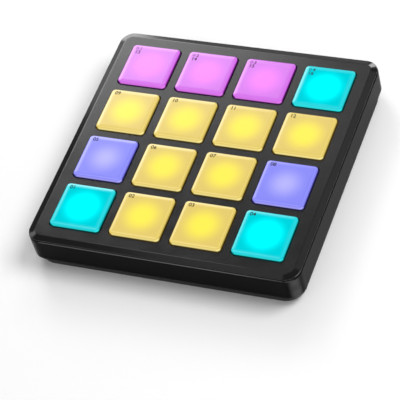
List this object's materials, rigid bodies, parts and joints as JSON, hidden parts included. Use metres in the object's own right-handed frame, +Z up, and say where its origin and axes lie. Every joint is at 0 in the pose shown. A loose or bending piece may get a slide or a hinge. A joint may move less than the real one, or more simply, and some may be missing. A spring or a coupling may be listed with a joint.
{
  "type": "midi pad controller",
  "caption": "Flat square controller with a grid of lit, spring-returned square pads in a bevelled black case, for finger drumming and triggering sounds over a cable.",
  "frame": {"origin": "on the floor under the centre of the case", "axes": "+X to the player's right, +Y to the back wall with the socket, +Z up out of the pads"},
  "size_m": [0.156, 0.156, 0.0239],
  "materials": {
    "case_black": "fine satin texture",
    "base_black": "fine satin texture",
    "pad_yellow": "translucent satin silicone, lit from inside",
    "pad_cyan": "translucent satin silicone, lit from inside",
    "pad_magenta": "translucent satin silicone, lit from inside",
    "pad_violet": "translucent satin silicone, lit from inside",
    "clear_silicone": "translucent matt silicone",
    "white_plastic": "matt",
    "film_grey": "matt printed film",
    "board_green": "satin solder mask",
    "light_white": "gloss with a clear lens",
    "chip_black": "matt moulding",
    "bright_metal": "bright plated",
    "capacitor_tan": "satin",
    "button_black": "fine satin texture",
    "screw_steel": "dark zinc plated",
    "foot_rubber": "matt"
  },
  "bodies": {
    "case": {"top_cover": "case_black", "side_frame": "case_black", "bottom_plate": "base_black", "pad_mat": "clear_silicone", "light_frame": "white_plastic", "sensor_film": "film_grey", "main_board": "board_green", "pad_lights": "light_white", "microcontroller": "chip_black", "multiplexers": "chip_black", "crystal": "bright_metal", "voltage_regulator": "chip_black", "chip_capacitors": "capacitor_tan", "usb_socket_shell": "bright_metal", "usb_socket_tongue": "chip_black", "switch_housing": "chip_black", "case_screws": "screw_steel", "board_screws": "screw_steel", "foot_front_left": "foot_rubber", "foot_front_right": "foot_rubber", "foot_back_left": "foot_rubber", "foot_back_right": "foot_rubber"},
    "pad_01": {"pad_01": "pad_cyan"},
    "pad_02": {"pad_02": "pad_yellow"},
    "pad_03": {"pad_03": "pad_yellow"},
    "pad_04": {"pad_04": "pad_cyan"},
    "pad_05": {"pad_05": "pad_violet"},
    "pad_06": {"pad_06": "pad_yellow"},
    "pad_07": {"pad_07": "pad_yellow"},
    "pad_08": {"pad_08": "pad_violet"},
    "pad_09": {"pad_09": "pad_yellow"},
    "pad_10": {"pad_10": "pad_yellow"},
    "pad_11": {"pad_11": "pad_yellow"},
    "pad_12": {"pad_12": "pad_yellow"},
    "pad_13": {"pad_13": "pad_magenta"},
    "pad_14": {"pad_14": "pad_magenta"},
    "pad_15": {"pad_15": "pad_magenta"},
    "pad_16": {"pad_16": "pad_cyan"},
    "button": {"function_button": "button_black", "switch_plunger": "white_plastic"}
  },
  "joints": [
    {"name": "pad_01_press", "type": "slide", "parent": "case", "child": "pad_01", "axis": [0, 0, 1], "range_m": [-0.0012, 0], "stiffness_N_per_m": 1500, "springref_m": 0.0005, "deforming": ["pad_mat"]},
    {"name": "pad_02_press", "type": "slide", "parent": "case", "child": "pad_02", "axis": [0, 0, 1], "range_m": [-0.0012, 0], "stiffness_N_per_m": 1500, "springref_m": 0.0005, "deforming": ["pad_mat"]},
    {"name": "pad_03_press", "type": "slide", "parent": "case", "child": "pad_03", "axis": [0, 0, 1], "range_m": [-0.0012, 0], "stiffness_N_per_m": 1500, "springref_m": 0.0005, "deforming": ["pad_mat"]},
    {"name": "pad_04_press", "type": "slide", "parent": "case", "child": "pad_04", "axis": [0, 0, 1], "range_m": [-0.0012, 0], "stiffness_N_per_m": 1500, "springref_m": 0.0005, "deforming": ["pad_mat"]},
    {"name": "pad_05_press", "type": "slide", "parent": "case", "child": "pad_05", "axis": [0, 0, 1], "range_m": [-0.0012, 0], "stiffness_N_per_m": 1500, "springref_m": 0.0005, "deforming": ["pad_mat"]},
    {"name": "pad_06_press", "type": "slide", "parent": "case", "child": "pad_06", "axis": [0, 0, 1], "range_m": [-0.0012, 0], "stiffness_N_per_m": 1500, "springref_m": 0.0005, "deforming": ["pad_mat"]},
    {"name": "pad_07_press", "type": "slide", "parent": "case", "child": "pad_07", "axis": [0, 0, 1], "range_m": [-0.0012, 0], "stiffness_N_per_m": 1500, "springref_m": 0.0005, "deforming": ["pad_mat"]},
    {"name": "pad_08_press", "type": "slide", "parent": "case", "child": "pad_08", "axis": [0, 0, 1], "range_m": [-0.0012, 0], "stiffness_N_per_m": 1500, "springref_m": 0.0005, "deforming": ["pad_mat"]},
    {"name": "pad_09_press", "type": "slide", "parent": "case", "child": "pad_09", "axis": [0, 0, 1], "range_m": [-0.0012, 0], "stiffness_N_per_m": 1500, "springref_m": 0.0005, "deforming": ["pad_mat"]},
    {"name": "pad_10_press", "type": "slide", "parent": "case", "child": "pad_10", "axis": [0, 0, 1], "range_m": [-0.0012, 0], "stiffness_N_per_m": 1500, "springref_m": 0.0005, "deforming": ["pad_mat"]},
    {"name": "pad_11_press", "type": "slide", "parent": "case", "child": "pad_11", "axis": [0, 0, 1], "range_m": [-0.0012, 0], "stiffness_N_per_m": 1500, "springref_m": 0.0005, "deforming": ["pad_mat"]},
    {"name": "pad_12_press", "type": "slide", "parent": "case", "child": "pad_12", "axis": [0, 0, 1], "range_m": [-0.0012, 0], "stiffness_N_per_m": 1500, "springref_m": 0.0005, "deforming": ["pad_mat"]},
    {"name": "pad_13_press", "type": "slide", "parent": "case", "child": "pad_13", "axis": [0, 0, 1], "range_m": [-0.0012, 0], "stiffness_N_per_m": 1500, "springref_m": 0.0005, "deforming": ["pad_mat"]},
    {"name": "pad_14_press", "type": "slide", "parent": "case", "child": "pad_14", "axis": [0, 0, 1], "range_m": [-0.0012, 0], "stiffness_N_per_m": 1500, "springref_m": 0.0005, "deforming": ["pad_mat"]},
    {"name": "pad_15_press", "type": "slide", "parent": "case", "child": "pad_15", "axis": [0, 0, 1], "range_m": [-0.0012, 0], "stiffness_N_per_m": 1500, "springref_m": 0.0005, "deforming": ["pad_mat"]},
    {"name": "pad_16_press", "type": "slide", "parent": "case", "child": "pad_16", "axis": [0, 0, 1], "range_m": [-0.0012, 0], "stiffness_N_per_m": 1500, "springref_m": 0.0005, "deforming": ["pad_mat"]},
    {"name": "button_press", "type": "slide", "parent": "case", "child": "button", "axis": [0, 1, 0], "range_m": [-0.0005, 0], "stiffness_N_per_m": 2000, "springref_m": 0.0003}
  ]
}
